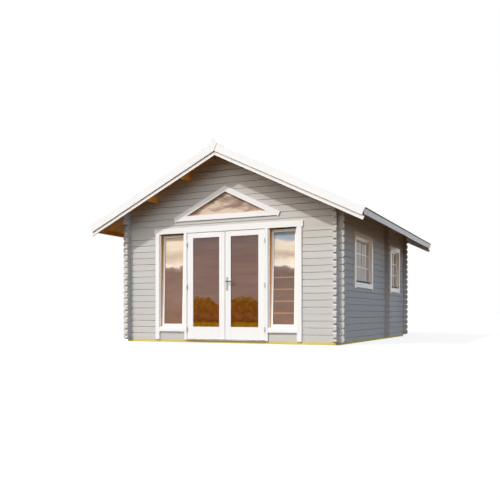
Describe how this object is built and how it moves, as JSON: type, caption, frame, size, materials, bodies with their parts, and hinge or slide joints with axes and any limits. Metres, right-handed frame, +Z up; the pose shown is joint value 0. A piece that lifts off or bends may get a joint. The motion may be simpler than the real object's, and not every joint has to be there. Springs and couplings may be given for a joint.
{
  "type": "log garden house with double door",
  "caption": "Gabled log garden house with interlocking corners, a glazed double door between side lights, a gable window, side windows and overhanging roof.",
  "frame": {"origin": "middle of the house on the ground", "axes": "+X right seen from the front, +Y towards the back along the ridge, +Z up"},
  "size_m": [5.1892, 5.85, 3.4749],
  "materials": {
    "grey_logs": "matt paint on sawn log faces",
    "white_paint": "satin paint",
    "grey_white_paint": "satin paint",
    "bare_wood": "bare planed softwood",
    "treated_wood": "pressure treated",
    "roofing": "mineral felt",
    "glass": "clear",
    "steel": "satin",
    "dark_steel": "satin",
    "aluminium": "mill"
  },
  "bodies": {
    "house": {"base_frame": "treated_wood", "floor_joists": "treated_wood", "floor_boards": "bare_wood", "front_wall_left": "grey_logs", "front_wall_right": "grey_logs", "front_sill_logs": "grey_logs", "front_gable": "grey_logs", "back_wall": "grey_logs", "left_wall": "grey_logs", "right_wall": "grey_logs", "partition": "grey_logs", "roof_deck_left": "bare_wood", "roof_deck_right": "bare_wood", "roof_cover_left": "roofing", "roof_cover_right": "roofing", "ridge_cap": "roofing", "purlins": "bare_wood", "eave_board_left": "grey_white_paint", "eave_board_right": "grey_white_paint", "front_gable_boards_lower": "white_paint", "front_gable_boards_upper": "white_paint", "back_gable_boards_lower": "white_paint", "back_gable_boards_upper": "white_paint", "jamb_trims": "white_paint", "header_trim": "white_paint", "door_posts": "white_paint", "door_head": "white_paint", "door_stops": "white_paint", "sill_trims": "white_paint", "side_light_linings": "bare_wood", "side_light_casements": "white_paint", "side_light_glass": "glass", "gable_window_frame": "bare_wood", "gable_window_glass": "glass", "gable_window_trim": "white_paint", "threshold": "aluminium", "right_window_trims": "white_paint", "right_window_linings": "white_paint", "right_window_casements": "white_paint", "right_window_glass": "glass", "left_window_trims": "white_paint", "left_window_linings": "white_paint", "left_window_casements": "white_paint", "left_window_glass": "glass", "post_hinges": "steel"},
    "door_left": {"door_left_leaf": "white_paint", "door_left_glass": "glass", "door_left_hinges": "steel"},
    "door_right": {"door_right_leaf": "white_paint", "door_right_glass": "glass", "door_right_hinges": "steel", "handle_plates": "steel"},
    "handle": {"handle_lever": "dark_steel"}
  },
  "joints": [
    {"name": "door_left_swing", "type": "hinge", "parent": "house", "child": "door_left", "pos_m": [-0.757, -2.534, 0.995], "axis": [0, 0, -1], "range_deg": [0, 105]},
    {"name": "door_right_swing", "type": "hinge", "parent": "house", "child": "door_right", "pos_m": [0.757, -2.534, 0.995], "axis": [0, 0, 1], "range_deg": [0, 105]},
    {"name": "handle_turn", "type": "hinge", "parent": "door_right", "child": "handle", "pos_m": [0.042, -2.494, 1.069], "axis": [0, 1, 0], "range_deg": [0, 40], "stiffness_Nm_per_rad": 1, "springref_deg": -57.3}
  ]
}
